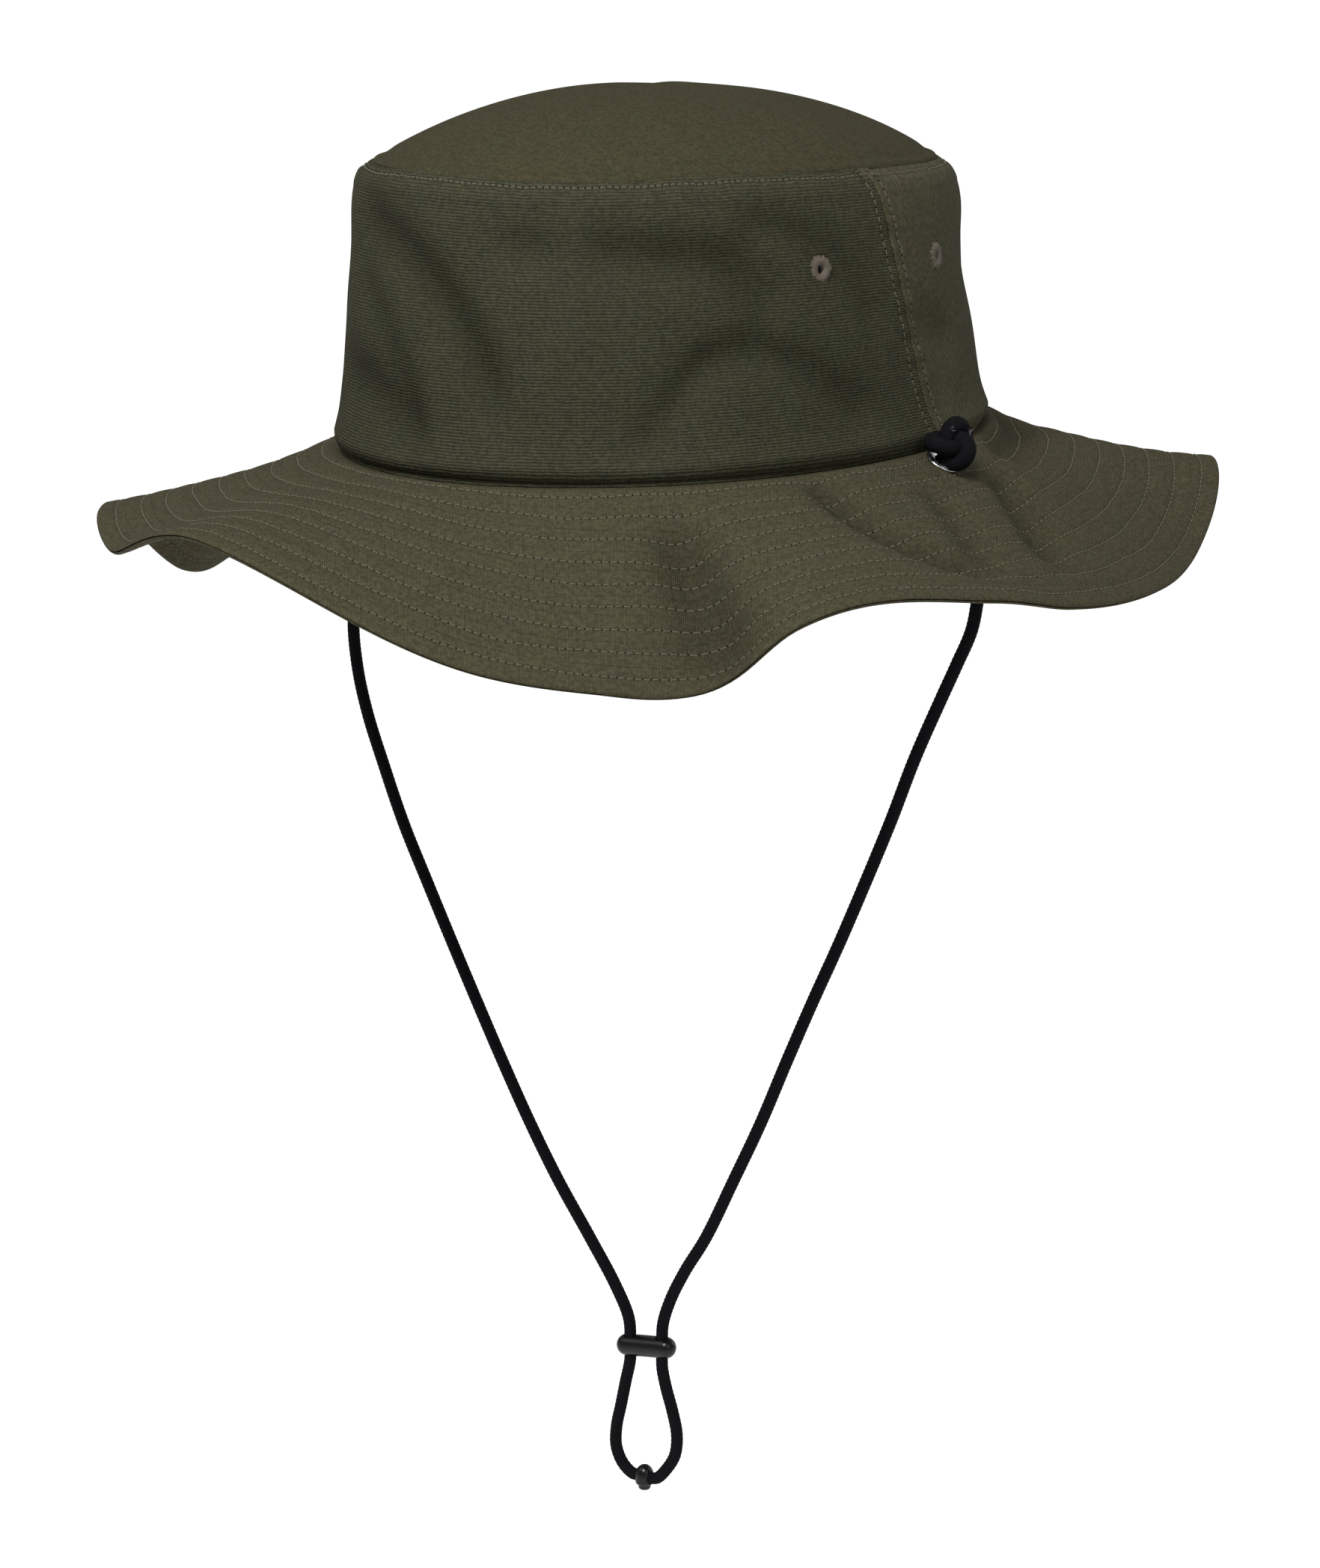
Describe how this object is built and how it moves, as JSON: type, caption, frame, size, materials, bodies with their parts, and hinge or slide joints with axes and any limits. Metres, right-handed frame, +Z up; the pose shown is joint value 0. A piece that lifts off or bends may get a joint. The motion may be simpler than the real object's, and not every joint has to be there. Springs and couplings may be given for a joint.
{
  "type": "bucket hat",
  "caption": "Soft canvas sun hat with a flat-topped crown, a wide wavy stitched brim and a chin cord with a slider.",
  "frame": {"origin": "centre of the head opening, in the plane where the crown meets the brim", "axes": "+Z up through the crown, -Y to the front of the hat, +X to the wearer's left"},
  "size_m": [0.289, 0.335, 0.4169],
  "materials": {
    "canvas": "olive green cotton canvas, matt, with a fine woven rib",
    "thread": "taupe grey embroidery thread, slight sheen",
    "tape": "dark olive cotton twill tape, matt",
    "lining": "stiff non-woven interlining, hidden between the brim plies",
    "label": "blank woven label, dark",
    "eyelet_metal": "bright nickel-plated brass eyelet",
    "cord": "black braided polyester cord, matt",
    "moulding": "black moulded nylon, satin to gloss"
  },
  "bodies": {
    "hat": {"crown_tip": "canvas", "crown_front_panel": "canvas", "crown_rear_panel": "canvas", "vent_left_front": "thread", "vent_left_rear": "thread", "vent_right_front": "thread", "vent_right_rear": "thread", "tip_seam_tape": "tape", "side_seam_tape_left": "tape", "side_seam_tape_right": "tape", "sweatband": "tape", "size_label": "label", "brim_upper_ply": "canvas", "brim_interlining": "lining", "brim_lower_ply": "canvas", "eyelet_left_flange": "eyelet_metal", "eyelet_left_washer": "eyelet_metal", "eyelet_right_flange": "eyelet_metal", "eyelet_right_washer": "eyelet_metal", "cord_knot_left": "cord", "cord_knot_right": "cord"},
    "chin_cord": {"cord_leg_left": "cord", "cord_leg_right": "cord", "cord_loop_left": "cord", "cord_loop_right": "cord", "cord_bead": "moulding"},
    "slider": {"cord_slider": "moulding"}
  },
  "joints": [
    {"name": "cord_swing", "type": "hinge", "parent": "hat", "child": "chin_cord", "pos_m": [0, 0, -0.0094], "axis": [1, 0, 0], "range_deg": [-60, 60]},
    {"name": "slider_slide", "type": "slide", "parent": "chin_cord", "child": "slider", "axis": [0, 0, 1], "range_m": [-0.022, 0.12], "deforming": ["cord_leg_left", "cord_leg_right", "cord_loop_left", "cord_loop_right"]}
  ]
}
